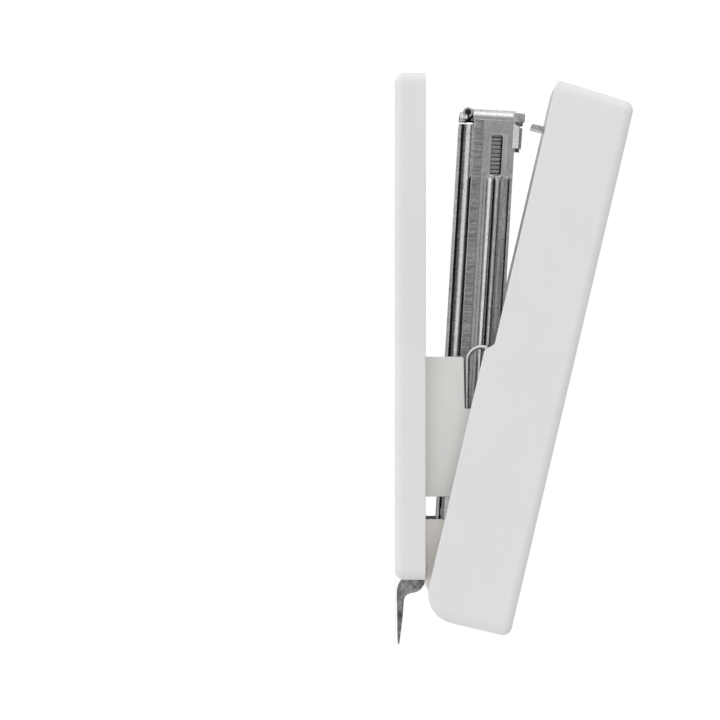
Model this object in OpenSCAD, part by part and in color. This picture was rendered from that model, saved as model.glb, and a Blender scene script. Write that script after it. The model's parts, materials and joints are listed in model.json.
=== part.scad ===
// Compact stapler for No. 10 staples, held open by its return spring.
// X runs from the nose (-X) to the pivot end (+X), Z up. The base lies on z = 0.
// The handle and the magazine are drawn closed, flat on the base, then turned open about the pivot pin.

/* [Body] */
// Width of the base and of the handle
body_w = 20; // [19.6:0.1:22]
// Thickness of the base
base_t = 3.4; // [3.4:0.05:3.6]
// Length of the base without the remover tab
base_len = 56.45; // [55.5:0.05:57]
// Length of the handle shell
handle_len = 61.6; // [61.4:0.1:62.5]
// Height of the closed stapler
closed_h = 13.55; // [13.5:0.05:14.5]
// Radius of the corners seen from above
corner_r = 1.3; // [0.8:0.1:2]
// How far the remover tab reaches behind the base
tab_reach = 7.5; // [7:0.1:8.5]
// Gap between the closed handle and the base
closing_gap = 0.1; // [0.05:0.05:0.3]

/* [Handle shell] */
// Side and nose wall of the handle shell
shell_wall = 1.4; // [1.2:0.1:1.4]
// Roof of the handle shell
shell_roof = 1.3; // [1:0.1:1.4]
// Wall behind the pivot
rear_wall = 1; // [0.8:0.1:1]
// Depth of the paper slot under the front half of the handle
throat_rise = 1.04; // [0.6:0.02:1.4]
// Length of the paper slot
throat_len = 30.1; // [26:0.1:30.4]

/* [Pivot] */
// Distance from the nose to the pivot pin
pivot_from_nose = 58.78; // [58.5:0.02:59]
// Height of the pivot pin above the table
pivot_h = 7.86; // [7.8:0.02:8]
// Radius of the pivot pin
pin_r = 0.75; // [0.6:0.05:0.8]
// Radial clearance of a part that turns or slides on a pin
running_gap = 0.05; // [0.02:0.01:0.08]

/* [Opening] */
// Angle of the open handle
open_angle = 13.2; // [12:0.1:15]
// Angle of the open magazine
magazine_angle = 3.37; // [3:0.01:3.6]

/* [Magazine] */
// Outside width of the steel channel
mag_w = 11.2; // [11.1:0.1:11.3]
// Height of the steel channel
mag_h = 6.35; // [6:0.05:6.4]
// Sheet thickness of the channel
mag_t = 0.4; // [0.3:0.05:0.4]
// Height of the closed channel's underside
mag_floor = 4; // [3.95:0.05:4.05]
// Distance from the nose of the stapler to the nose of the magazine
mag_setback = 3.88; // [3.8:0.02:4]

/* [Staples] */
// Outside width of a staple
staple_w = 9.4; // [9.2:0.1:9.6]
// Length of a staple's leg
staple_leg = 4.7; // [4.5:0.1:4.7]
// Thickness of the staple wire
wire_t = 0.5; // [0.4:0.05:0.5]
// Distance between neighbouring staples in the strip
staple_pitch = 0.455; // [0.4:0.005:0.5]
// Number of staples in the strip
staple_count = 55; // [20:1:55]

/* [Hidden] */
$fn = 48;

// Overshoot of a cut past the face that it opens
cut = 0.5;
// Clearance between two parts that are fixed to each other
fixed_gap = 0.01;
// Steps of a rounded outline's corner
arc_steps = 6;

// Overall places
nose_x = -(base_len + tab_reach) / 2;
base_end_x = nose_x + base_len;
tab_tip_x = base_end_x + tab_reach;
handle_end_x = nose_x + handle_len;
half_w = body_w / 2;
pivot_x = nose_x + pivot_from_nose;
pivot_z = pivot_h;

// Base stack: floor of the cover, steel plate, white liner
base_rim = 1.3;
base_floor = 1.2;
plate_t = 0.7;
plate_top = base_floor + plate_t;
liner_gap = 0.1;
liner_half_w = half_w - base_rim - liner_gap;
liner_x0 = nose_x + base_rim + liner_gap;
pocket_x1 = base_end_x - base_rim - liner_gap;
edge_r = 0.8;
rivet_r = 0.6;
rivet_head_r = 1.2;
rivet_head_t = 0.35;
front_rivet_x = nose_x + 12;
middle_rivet_x = nose_x + 44.5;
rear_rivet_x = nose_x + 53;
rivet_xs = [front_rivet_x, middle_rivet_x, rear_rivet_x];

// Anvil
anvil_x0 = nose_x + 2.6;
anvil_x1 = nose_x + 7.9;
anvil_half_w = 5.9;
anvil_top = base_t - 0.1;
trough_depth = 0.75;
trough_half_len = 0.95;

// White cheeks beside the magazine
cheek_x0 = nose_x + 31.6;
cheek_x1 = nose_x + 47.2;
cheek_step_x = nose_x + 37.4;
cheek_top = base_t + 4.37;
cheek_high = cheek_top + 1.5;
cheek_in = mag_w / 2 + 0.5;
cheek_out = cheek_in + 1.6;

// Rear bracket and its ears
bracket_x0 = nose_x + 49.73;
bracket_x1 = nose_x + 57.4;
bracket_floor = mag_floor - 0.2;
ear_in = mag_w / 2 + 0.3;
ear_out = ear_in + 1.6;
ear_r = 1.6;
ear_neck = 1.45;

// Remover tab
tab_w = 5.83;
tab_z0 = 2.4;
tab_z1 = 3.2;
tab_x0 = bracket_x0 + 0.15;
strap_hole_r = 1.36;
strap_hole_x = tab_tip_x - 2.31;
tab_corner_r = 1.6;
tab_slot_z = 1;

// Magazine
mag_half = mag_w / 2;
mag_x0 = nose_x + mag_setback;
mag_top = mag_floor + mag_h;
mag_floor_top = mag_floor + mag_t;
channel_x0 = mag_x0 + 0.5;
channel_rear_x = nose_x + 50.6;
arm_r = 1.6;
driver_x0 = nose_x + 5.18;
driver_t = 0.5;
driver_gap = 0.3;
nose_in_x = driver_x0 - driver_gap;
rail_x0 = driver_x0 + driver_t + driver_gap;
rail_x1 = nose_x + 48.6;
crown_top = mag_floor_top + staple_leg + 0.1;
rail_t = 0.45;
rail_top = crown_top - wire_t - 0.05;
rail_half = staple_w / 2 - wire_t - 0.05;
rail_slot_half = 1;
rail_slot_x = rail_x0 + 8;
strip_x1 = rail_x0 + staple_count * staple_pitch;
window_x0 = nose_x + 6.64;
window_len = 4.62;
window_z0 = mag_floor + 3.78;
window_h = 1.24;

// Pusher, its rod and spring
rod_r = 0.6;
rod_z = mag_floor_top + 2.1;
pusher_len = 5;
pusher_front = strip_x1 + 0.02;
collar_r = 1.45;
spring_r = 1.4;
spring_in_r = 0.95;
stop_t = 0.8;
stop_x0 = rail_x1 + 0.1;
rail_rivet_xs = [nose_x + 12, nose_x + 40];
rail_rivet_y = 2.6;

// Handle
under_front = base_t + throat_rise;
under_rear = base_t + closing_gap;
shell_in = half_w - shell_wall;
shell_ceiling = closed_h - shell_roof;
frame_t = 0.5;
frame_top = shell_ceiling - 0.05;
frame_z = frame_top - frame_t;
frame_ear_in = ear_out + 0.15;
frame_ear_out = frame_ear_in + 0.5;
frame_x0 = nose_x + 3;
frame_x1 = pivot_x + 0.9;
driver_half = 4.25;
driver_tip = 3;
driver_flange = 6;
driver_rivet_x = driver_x0 + 3.6;
driver_rivet_y = 2.4;

// Springs
leaf_t = 0.3;
leaf_half = 2;
leaf_x0 = nose_x + 35;
wire_r = 0.22;
spring_y = (cheek_in + cheek_out) / 2;
spring_leg_z = cheek_top + wire_r + 0.03;
bend_r = 1.6;
bend_x = nose_x + 32.1;
bend_z = spring_leg_z + bend_r;
upper_leg_len = 11;
upper_leg_angle = 16.5;

// Points of an arc from angle a0 to a1
function arc(cx, cy, r, a0, a1, steps = arc_steps) = [
    for (i = [0:steps])
        let (a = a0 + (a1 - a0) * i / steps)
            [cx + r * cos(a), cy + r * sin(a)]
];

// Rectangle with four round corners
function rounded(x0, x1, y0, y1, r) = concat(
    arc(x1 - r, y0 + r, r, -90, 0),
    arc(x1 - r, y1 - r, r, 0, 90),
    arc(x0 + r, y1 - r, r, 90, 180),
    arc(x0 + r, y0 + r, r, 180, 270)
);

// Rectangle whose two lower corners are round
function round_bottom(x0, x1, z0, z1, r) = concat(
    arc(x1 - r, z0 + r, r, -90, 0),
    [[x1, z1], [x0, z1]],
    arc(x0 + r, z0 + r, r, 180, 270)
);

// Box between two corners
module block(low, high) {
    translate(low) cube(high - low);
}

// Side profile in X and Z, made into a plate between y0 and y1
module side_plate(points, y0, y1) {
    translate([0, y1, 0]) rotate([90, 0, 0]) linear_extrude(y1 - y0) polygon(points);
}

// The same shape on both sides of the middle plane
module both_sides() {
    children();
    mirror([0, 1, 0]) children();
}

// Cylinder along Y through the pivot
module pivot_bar(r, y0, y1) {
    translate([pivot_x, y1, pivot_z]) rotate([90, 0, 0]) cylinder(r = r, h = y1 - y0);
}

// Cylinder along X
module rod_x(r, x0, x1, z) {
    translate([x0, 0, z]) rotate([0, 90, 0]) cylinder(r = r, h = x1 - x0);
}

// Turns closed parts open about the pivot
module opened(angle) {
    translate([pivot_x, 0, pivot_z]) rotate([0, angle, 0]) translate([-pivot_x, 0, -pivot_z]) children();
}

// Lower shell: a tray with soft outer edges
module base_cover() {
    color("whitesmoke") difference() {
        intersection() {
            linear_extrude(base_t) polygon(rounded(nose_x, base_end_x, -half_w, half_w, corner_r));
            side_plate(round_bottom(nose_x, base_end_x, 0, base_t, edge_r), -half_w, half_w);
            rotate([90, 0, 90]) translate([0, 0, nose_x]) linear_extrude(base_len)
                polygon(round_bottom(-half_w, half_w, 0, base_t, edge_r));
        }
        block(
            [nose_x + base_rim, -half_w + base_rim, base_floor],
            [base_end_x - base_rim, half_w - base_rim, base_t + cut]
        );
        block([base_end_x - base_rim - cut, -tab_w / 2 - 0.1, tab_slot_z],
            [base_end_x + cut, tab_w / 2 + 0.1, base_t + cut]);
        for (x = rivet_xs) translate([x, 0, base_floor - rivet_head_t - 0.05])
            cylinder(r = rivet_head_r + 0.1, h = 1);
    }
}

// Steel stiffener on the tray's floor
module base_plate() {
    color("silver") difference() {
        linear_extrude(plate_top) polygon(rounded(liner_x0, pocket_x1,
            -liner_half_w + 0.2, liner_half_w - 0.2, 1));
        translate([0, 0, -cut]) linear_extrude(base_floor + cut) square(4 * base_len, center = true);
        for (x = rivet_xs) translate([x, 0, 0]) cylinder(r = rivet_r + fixed_gap, h = base_t);
    }
}

// Steel plate that clinches the staples, with a trough for the legs
module anvil() {
    color("silver") difference() {
        block([anvil_x0, -anvil_half_w, plate_top], [anvil_x1, anvil_half_w, anvil_top]);
        block([driver_x0 + driver_t / 2 - trough_half_len, -5.2, anvil_top - trough_depth],
            [driver_x0 + driver_t / 2 + trough_half_len, 5.2, base_t + cut]);
    }
}

// Outline of a cheek, higher where it holds the return spring
function cheek_outline() = [
    [cheek_x0, base_t - cut], [cheek_x1, base_t - cut], [cheek_x1, cheek_high],
    [cheek_step_x + 0.3, cheek_high], [cheek_step_x, cheek_high - 0.3], [cheek_step_x, cheek_top],
    [cheek_x0 + 0.35, cheek_top], [cheek_x0, cheek_top - 0.25]
];

// White liner with the two cheeks that guide the magazine
module guide_frame() {
    color("whitesmoke") difference() {
        union() {
            block([liner_x0, -liner_half_w, plate_top], [bracket_x0 - 0.05, liner_half_w, base_t]);
            both_sides() side_plate(cheek_outline(), cheek_in, cheek_out);
        }
        block([anvil_x0 - 0.05, -anvil_half_w - 0.05, plate_top - cut],
            [anvil_x1 + 0.05, anvil_half_w + 0.05, base_t + cut]);
        block([leaf_x0 - 0.6, -leaf_half - 0.4, base_t - 0.5],
            [middle_rivet_x + 1.7, leaf_half + 0.4, base_t + cut]);
        for (x = [front_rivet_x, middle_rivet_x]) translate([x, 0, plate_top - cut])
            cylinder(r = rivet_r + fixed_gap, h = base_t);
        translate([front_rivet_x, 0, base_t - rivet_head_t - 0.02]) cylinder(r = rivet_head_r + 0.1, h = 1);
        both_sides() translate([cheek_step_x - cut, spring_y, spring_leg_z]) rotate([0, 90, 0])
            cylinder(r = wire_r + fixed_gap, h = 2.5 + cut);
    }
}

// Outline of the bracket's ear and its neck towards the pin, clear of the base's rear rim
function bracket_outline() = [
    [bracket_x0, base_t - cut], [pocket_x1, base_t - cut], [pocket_x1, base_t],
    [bracket_x1, base_t], [bracket_x1, pivot_z - ear_neck],
    [pivot_x, pivot_z - ear_neck], [pivot_x, pivot_z + ear_neck],
    [bracket_x0 + 0.8, pivot_z + ear_neck], [bracket_x0, pivot_z + ear_neck - 0.8]
];

// White rear pedestal that holds the pivot pin
module pivot_bracket() {
    color("whitesmoke") difference() {
        union() {
            block([bracket_x0, -liner_half_w, plate_top], [pocket_x1, liner_half_w, base_t]);
            block([bracket_x0, -ear_out, base_t - cut], [pocket_x1, ear_out, bracket_floor]);
            block([bracket_x0, -ear_out, base_t], [bracket_x1, ear_out, bracket_floor]);
            both_sides() side_plate(bracket_outline(), ear_in, ear_out);
            both_sides() pivot_bar(ear_r, ear_in, ear_out);
        }
        block([bracket_x0 - cut, -tab_w / 2 - 0.05, tab_z0 - 0.01],
            [bracket_x1 + cut, tab_w / 2 + 0.05, tab_z1 + 0.01]);
        block([pocket_x1 - 0.6, -tab_w / 2 - 0.05, plate_top - cut],
            [bracket_x1 + cut, tab_w / 2 + 0.05, tab_z1 + 0.01]);
        translate([rear_rivet_x, 0, 0]) cylinder(r = rivet_r + fixed_gap, h = base_t + cut);
        translate([rear_rivet_x, 0, bracket_floor - rivet_head_t - 0.02])
            cylinder(r = rivet_head_r + 0.1, h = 1);
        pivot_bar(pin_r + fixed_gap, -half_w, half_w);
    }
}

// Side profile of the tab: flat in the base, cranked down behind it, then a thin blade
function tab_outline() = [
    [tab_x0, tab_z0], [base_end_x - 0.2, tab_z0], [base_end_x + 0.3, tab_z0 - 0.15],
    [base_end_x + 0.65, 1.75], [base_end_x + 0.85, 1], [base_end_x + 1.4, 0.45], [base_end_x + 2, 0.25],
    [tab_tip_x, 0.25], [tab_tip_x, 0.42], [tab_tip_x - 0.8, 0.85], [base_end_x + 2.5, 0.85],
    [base_end_x + 2, 1.05], [base_end_x + 1.75, 1.55], [base_end_x + 1.65, 2.25],
    [base_end_x + 1.3, 2.85], [base_end_x + 0.7, tab_z1], [tab_x0, tab_z1]
];

// Dark steel tab that pries staples out and takes a strap
module remover_tab() {
    color("dimgray") difference() {
        intersection() {
            side_plate(tab_outline(), -tab_w / 2, tab_w / 2);
            linear_extrude(base_t) polygon(rounded(tab_x0, tab_tip_x, -tab_w / 2, tab_w / 2, tab_corner_r));
        }
        translate([strap_hole_x, 0, -cut]) cylinder(r = strap_hole_r, h = base_t);
        translate([rear_rivet_x, 0, 0]) cylinder(r = rivet_r + fixed_gap, h = base_t + cut);
    }
}

// One rivet standing in the base, with a head at each end
module base_rivet(x, z0, z1) {
    translate([x, 0, z0]) cylinder(r = rivet_head_r, h = rivet_head_t);
    translate([x, 0, z0]) cylinder(r = rivet_r, h = z1 - z0);
    translate([x, 0, z1 - rivet_head_t]) cylinder(r = rivet_head_r, h = rivet_head_t);
}

// Rivets that hold the liner, the lift spring and the tab to the steel plate
module base_rivets() {
    color("silver") {
        base_rivet(front_rivet_x, base_floor - rivet_head_t, base_t);
        base_rivet(middle_rivet_x, base_floor - rivet_head_t, base_t - 0.5 + leaf_t + rivet_head_t);
        base_rivet(rear_rivet_x, base_floor - rivet_head_t, bracket_floor);
    }
}

// Steel pin that the magazine and the handle turn on
module pivot_pin() {
    color("silver") pivot_bar(pin_r, -shell_in + 0.15, shell_in - 0.15);
}

// Sleeve that keeps the magazine's arms apart on the pin
module pin_spacer() {
    color("gainsboro") difference() {
        pivot_bar(pin_r + 0.55, -mag_half + mag_t + 0.1, mag_half - mag_t - 0.1);
        pivot_bar(pin_r + running_gap, -mag_half, mag_half);
    }
}

// Leaf spring that lifts the magazine off the base
module lift_spring() {
    leaf_z = base_t - 0.5;
    bend = [middle_rivet_x - 2, leaf_z];
    tip = [leaf_x0, base_t + 1.5];
    color("silver") difference() {
        side_plate([
            [middle_rivet_x + 1.5, leaf_z], [middle_rivet_x + 1.5, leaf_z + leaf_t],
            [bend[0], leaf_z + leaf_t], [tip[0] + 0.5, tip[1] + leaf_t], [tip[0], tip[1]],
            [tip[0] + 0.5, tip[1]], [bend[0] + 0.05, bend[1]]
        ], -leaf_half, leaf_half);
        translate([middle_rivet_x, 0, 0]) cylinder(r = rivet_r + fixed_gap, h = base_t + cut);
    }
}

// One wire of the return spring: lower leg, round bend, upper leg under the press frame
module return_wire() {
    leg_r = wire_r - 0.005;
    joint = 0.05;
    translate([bend_x - joint, 0, spring_leg_z]) rotate([0, 90, 0])
        cylinder(r = leg_r, h = cheek_step_x + 2 - bend_x);
    translate([bend_x, 0, bend_z]) rotate([90, 0, 0]) rotate([0, 0, 90 + upper_leg_angle])
        rotate_extrude(angle = 180 - upper_leg_angle) translate([bend_r, 0]) circle(r = wire_r);
    translate([bend_x - bend_r * sin(upper_leg_angle), 0, bend_z + bend_r * cos(upper_leg_angle)])
        rotate([0, 90 - upper_leg_angle, 0]) translate([0, 0, -joint])
            cylinder(r = leg_r, h = upper_leg_len);
}

// Pair of bent wires that push the handle open
module return_spring() {
    color("silver") both_sides() translate([0, spring_y, 0]) return_wire();
}

// Outline of the channel's side wall, drawn in to the pivot arm
function channel_outline() = [
    [channel_x0, mag_floor + 1.3], [channel_x0 + 1.2, mag_floor + 1.3], [channel_x0 + 1.2, mag_floor],
    [channel_rear_x, mag_floor], [pivot_x - 2.5, pivot_z - arm_r + 0.1], [pivot_x, pivot_z - arm_r + 0.1],
    [pivot_x, pivot_z + arm_r - 0.1], [pivot_x - 2.5, mag_top - 0.5], [channel_rear_x, mag_top],
    [channel_x0, mag_top]
];

// Steel channel with a window on each side and arms back to the pin
module magazine_channel() {
    color("silver") opened(magazine_angle) difference() {
        union() {
            block([rail_x0, -mag_half, mag_floor], [channel_rear_x, mag_half, mag_floor_top]);
            both_sides() side_plate(channel_outline(), mag_half - mag_t, mag_half);
            both_sides() pivot_bar(arm_r, mag_half - mag_t, mag_half);
            both_sides() block([window_x0 - 1.1, mag_half - mag_t, mag_top - 0.2],
                [window_x0 + 1.8, mag_half, mag_top + 0.85]);
        }
        both_sides() block([window_x0, mag_half - mag_t - cut, window_z0],
            [window_x0 + window_len, mag_half + cut, window_z0 + window_h]);
        for (x = rail_rivet_xs) both_sides() translate([x, rail_rivet_y, mag_floor - cut])
            cylinder(r = 0.5 + fixed_gap, h = 2);
        pivot_bar(pin_r + running_gap, -half_w, half_w);
    }
}

// Folded plate that closes the magazine's nose and guides the driver
module nose_plate() {
    color("silver") opened(magazine_angle) difference() {
        union() {
            block([mag_x0, -mag_half, mag_floor], [nose_in_x, mag_half, mag_top]);
            both_sides() block([mag_x0 + 0.2, mag_half - mag_t, mag_top - cut],
                [nose_in_x + cut, mag_half, mag_top + 1]);
        }
        both_sides() block([channel_x0 - 0.01, mag_half - mag_t - 0.02, mag_floor - cut],
            [nose_in_x + 2 * cut, mag_half + cut, mag_top + 0.01]);
    }
}

// Steel rail that the staples hang on, with a slot for the pusher
module staple_rail() {
    foot = rail_half;
    color("silver") opened(magazine_angle) difference() {
        block([rail_x0, -foot, mag_floor_top], [rail_x1, foot, rail_top]);
        block([rail_x0 - cut, -foot + rail_t, mag_floor_top + rail_t],
            [rail_x1 + cut, foot - rail_t, rail_top - rail_t]);
        block([rail_slot_x, -rail_slot_half, rail_top - 1], [rail_x1 + cut, rail_slot_half, rail_top + cut]);
        for (x = rail_rivet_xs) both_sides() translate([x, rail_rivet_y, mag_floor_top - cut])
            cylinder(r = 0.5 + fixed_gap, h = 2);
    }
}

// Rivets that hold the rail to the channel's floor
module rail_rivets() {
    color("silver") opened(magazine_angle) for (x = rail_rivet_xs) both_sides()
        translate([x, rail_rivet_y, mag_floor]) {
            cylinder(r = 0.5, h = mag_t + rail_t + 0.25);
            translate([0, 0, mag_t + rail_t]) cylinder(r = 0.9, h = 0.3);
        }
}

// Strip of glued staples
module staple_strip() {
    color("lightgray") opened(magazine_angle) difference() {
        block([rail_x0, -staple_w / 2, crown_top - staple_leg], [strip_x1, staple_w / 2, crown_top]);
        block([rail_x0 - cut, -staple_w / 2 + wire_t, mag_floor],
            [strip_x1 + cut, staple_w / 2 - wire_t, crown_top - wire_t]);
    }
}

// Rod that the pusher and its spring run on
module pusher_rod() {
    color("silver") opened(magazine_angle) rod_x(rod_r, rail_slot_x + 0.5, stop_x0 + stop_t + 0.4, rod_z);
}

// Plate that closes the rail's rear end and holds the rod
module rear_stop() {
    color("silver") opened(magazine_angle) difference() {
        block([stop_x0, -mag_half + mag_t + 0.05, mag_floor_top],
            [stop_x0 + stop_t, mag_half - mag_t - 0.05, rail_top]);
        rod_x(rod_r + fixed_gap, stop_x0 - cut, stop_x0 + stop_t + cut, rod_z);
    }
}

// Sleeve in the place of the coil spring behind the pusher
module pusher_spring() {
    color("silver") opened(magazine_angle) difference() {
        rod_x(spring_r, pusher_front + pusher_len + 0.05, stop_x0 - 0.02, rod_z);
        rod_x(spring_in_r, pusher_front, stop_x0 + cut, rod_z);
    }
}

// Saddle that pushes the strip towards the nose
module pusher() {
    color("dimgray") opened(magazine_angle) difference() {
        union() {
            difference() {
                block([pusher_front, -staple_w / 2, mag_floor_top + 0.6],
                    [pusher_front + pusher_len, staple_w / 2, crown_top + 0.4]);
                block([pusher_front - cut, -rail_half - 0.1, mag_floor],
                    [pusher_front + pusher_len + cut, rail_half + 0.1, rail_top + 0.1]);
            }
            block([pusher_front, -rail_slot_half + 0.2, rod_z],
                [pusher_front + pusher_len, rail_slot_half - 0.2, rail_top + 0.5]);
            rod_x(collar_r, pusher_front, pusher_front + pusher_len, rod_z);
        }
        rod_x(rod_r + running_gap, pusher_front - cut, pusher_front + pusher_len + cut, rod_z);
    }
}

// Side outline of the closed handle: paper slot in front, round end behind the pivot
function handle_outline() =
    let (
        draft = 0.6,
        top_r = 1,
        lift_r = 3.5,
        lift_len = 1.3,
        end_r = pivot_z - 0.9 - under_rear,
        step_x = nose_x + throat_len
    ) concat(
        arc(nose_x + lift_len, under_front + lift_r, lift_r, 270 - asin(lift_len / lift_r), 270),
        [[step_x, under_front], [step_x + 0.75, under_front - 0.25],
         [step_x + 1.1, under_rear]],
        arc(handle_end_x - end_r, under_rear + end_r, end_r, -90, 0),
        arc(handle_end_x - top_r, closed_h - top_r, top_r, 0, 90),
        arc(nose_x + draft + top_r, closed_h - top_r, top_r, 90, 177)
    );

// Rounded recess across the handle's nose that marks where to press
module press_mark() {
    mark_x = nose_x + 4.38;
    translate([0, 0, closed_h - 0.3]) linear_extrude(1)
        polygon(rounded(mark_x - 0.65, mark_x + 0.65, -5.2, 5.2, 0.64));
}

// White handle: a tub, open below, that hides the mechanism
module handle_shell() {
    color("whitesmoke") opened(open_angle) difference() {
        intersection() {
            linear_extrude(closed_h) polygon(rounded(nose_x, handle_end_x, -half_w, half_w, corner_r));
            side_plate(handle_outline(), -half_w, half_w);
        }
        block([nose_x + shell_wall, -shell_in, 0], [handle_end_x - rear_wall, shell_in, shell_ceiling]);
        block([pivot_x - 5, -shell_in, 0], [handle_end_x + cut, shell_in, pivot_z - 0.86]);
        press_mark();
    }
}

// Steel press frame under the handle's roof, with ears down to the pin
module press_frame() {
    ear = [
        [pivot_x - 5, frame_top - 0.01], [pivot_x - 5, frame_z - 1], [pivot_x - 1.45, pivot_z],
        [pivot_x + 1.45, pivot_z], [frame_x1, frame_top - 0.01]
    ];
    color("silver") opened(open_angle) difference() {
        union() {
            block([frame_x0, -frame_ear_out, frame_z], [frame_x1, frame_ear_out, frame_top]);
            both_sides() side_plate(ear, frame_ear_in, frame_ear_out);
            both_sides() pivot_bar(ear_r, frame_ear_in, frame_ear_out);
        }
        pivot_bar(pin_r + running_gap, -half_w, half_w);
        both_sides() translate([driver_rivet_x, driver_rivet_y, frame_z - cut])
            cylinder(r = 0.5 + fixed_gap, h = 2);
    }
}

// Steel blade that drives a staple, with a flange under the press frame
module driver_blade() {
    color("silver") opened(open_angle) difference() {
        union() {
            block([driver_x0, -driver_half, driver_tip], [driver_x0 + driver_t, driver_half, frame_z]);
            block([driver_x0, -driver_half, frame_z - driver_t],
                [driver_x0 + driver_flange, driver_half, frame_z]);
        }
        both_sides() translate([driver_rivet_x, driver_rivet_y, frame_z - 1])
            cylinder(r = 0.5 + fixed_gap, h = 2);
    }
}

// Rivets that hold the driver to the press frame
module driver_rivets() {
    color("silver") opened(open_angle) both_sides()
        translate([driver_rivet_x, driver_rivet_y, frame_z - driver_t - 0.3]) {
            cylinder(r = 0.9, h = 0.3);
            cylinder(r = 0.5, h = driver_t + frame_t + 0.3);
        }
}

base_cover();
base_plate();
anvil();
guide_frame();
pivot_bracket();
remover_tab();
base_rivets();
pivot_pin();
pin_spacer();
lift_spring();
return_spring();
magazine_channel();
nose_plate();
staple_rail();
rail_rivets();
staple_strip();
pusher_rod();
rear_stop();
pusher_spring();
pusher();
handle_shell();
press_frame();
driver_blade();
driver_rivets();
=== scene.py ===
import json
import math

import bmesh
import bpy
from mathutils import Matrix, Vector


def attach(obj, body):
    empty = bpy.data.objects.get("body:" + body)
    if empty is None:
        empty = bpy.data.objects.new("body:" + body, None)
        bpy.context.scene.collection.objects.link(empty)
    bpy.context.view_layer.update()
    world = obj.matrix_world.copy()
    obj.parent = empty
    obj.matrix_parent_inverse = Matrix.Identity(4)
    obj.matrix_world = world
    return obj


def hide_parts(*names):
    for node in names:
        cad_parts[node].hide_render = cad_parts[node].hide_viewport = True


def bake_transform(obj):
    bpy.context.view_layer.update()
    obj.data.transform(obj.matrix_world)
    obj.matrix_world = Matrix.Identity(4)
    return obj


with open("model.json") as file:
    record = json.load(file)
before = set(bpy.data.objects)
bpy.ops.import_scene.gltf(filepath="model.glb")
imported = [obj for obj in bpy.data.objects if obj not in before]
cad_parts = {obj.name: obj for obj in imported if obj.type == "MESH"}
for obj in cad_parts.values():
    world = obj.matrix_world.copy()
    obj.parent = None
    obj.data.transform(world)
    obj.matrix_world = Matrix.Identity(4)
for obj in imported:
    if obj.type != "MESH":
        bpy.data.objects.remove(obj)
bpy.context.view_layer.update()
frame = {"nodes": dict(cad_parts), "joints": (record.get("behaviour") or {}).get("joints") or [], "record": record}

# Shapes are drawn in millimetres with the stapler closed, then turned open about the pivot.
MM = 0.001
JOINTS = {joint["name"]: joint for joint in frame["joints"]}
COUPLING = frame["record"]["behaviour"]["couplings"][0]
PIVOT = Vector(JOINTS["handle_hinge"]["pos_m"]) / MM
OPEN = math.radians(-JOINTS["handle_hinge"]["range_deg"][0])
LIFT = COUPLING["ratio"] * OPEN
UP = Vector((0, 0, 1))
ACROSS = Vector((0, 1, 0))


def turned(angle):
    """From closed millimetres to the row frame in metres, turned open about the pivot."""
    about = Matrix.Translation(PIVOT)
    return Matrix.Scale(MM, 4) @ about @ Matrix.Rotation(angle, 4, "Y") @ about.inverted()


def closed_box(node, angle=0.0):
    """Lowest and highest corner of a CAD node with the stapler closed, in millimetres."""
    back = turned(angle).inverted()
    points = [back @ vertex.co for vertex in frame["nodes"][node].data.vertices]
    low = Vector([min(point[i] for point in points) for i in range(3)])
    high = Vector([max(point[i] for point in points) for i in range(3)])
    return low, high


BASE_LOW, BASE_HIGH = closed_box("base_cover")
GUIDE_LOW, GUIDE_HIGH = closed_box("guide_frame")
TAB_LOW, TAB_HIGH = closed_box("remover_tab")
ANVIL_LOW, ANVIL_HIGH = closed_box("anvil")
LEAF_LOW, LEAF_HIGH = closed_box("lift_spring")
WIRE_LOW, WIRE_HIGH = closed_box("return_spring")
SHELL_LOW, SHELL_HIGH = closed_box("handle_shell", OPEN)
DRIVER_LOW, _ = closed_box("driver_blade", OPEN)
CHANNEL_LOW, CHANNEL_HIGH = closed_box("magazine_channel", LIFT)
FRONT_LOW, _ = closed_box("nose_plate", LIFT)
STRIP_LOW, STRIP_HIGH = closed_box("staple_strip", LIFT)
COIL_LOW, COIL_HIGH = closed_box("pusher_spring", LIFT)

NOSE = SHELL_LOW.x
HALF_W = SHELL_HIGH.y


# Outlines and mesh tools

def arc(cx, cy, radius, start, end, steps):
    """Points of an arc, in degrees from start to end."""
    angles = [math.radians(start + (end - start) * i / steps) for i in range(steps + 1)]
    return [(cx + radius * math.cos(a), cy + radius * math.sin(a)) for a in angles]


def spread(low, high, steps):
    """Evenly spaced values, both ends included."""
    return [low + (high - low) * i / steps for i in range(steps + 1)]


def smooth(value, low, high):
    """0 below low, 1 above high, smooth in between."""
    t = min(max((value - low) / (high - low), 0.0), 1.0)
    return t * t * (3 - 2 * t)


def hump(value, low, high):
    """A rounded rib between low and high."""
    t = (value - low) / (high - low)
    return math.sqrt(math.sin(math.pi * t)) if 0 < t < 1 else 0.0


def band(value, low, high, edge=0.03):
    """1 between low and high, with soft edges."""
    return smooth(value, low - edge, low + edge) * (1 - smooth(value, high - edge, high + edge))


def plan_loop(x0, x1, half, radius, cuts=(), steps=7, rear_cuts=()):
    """Round-cornered rectangle seen from above, with extra points along its sides and its rear."""
    loop = arc(x1 - radius, -half + radius, radius, -90, 0, steps)
    loop += [(x1, y) for y in rear_cuts]
    loop += arc(x1 - radius, half - radius, radius, 0, 90, steps)
    loop += [(x, half) for x in reversed(cuts)]
    loop += arc(x0 + radius, half - radius, radius, 90, 180, steps)
    loop += arc(x0 + radius, -half + radius, radius, 180, 270, steps)
    loop += [(x, -half) for x in cuts]
    return loop


def at_height(loop, height):
    """Lifts a flat loop to a height, which may be a function of the point."""
    if callable(height):
        return [Vector((x, y, height(x, y))) for x, y in loop]
    return [Vector((x, y, height)) for x, y in loop]


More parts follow.
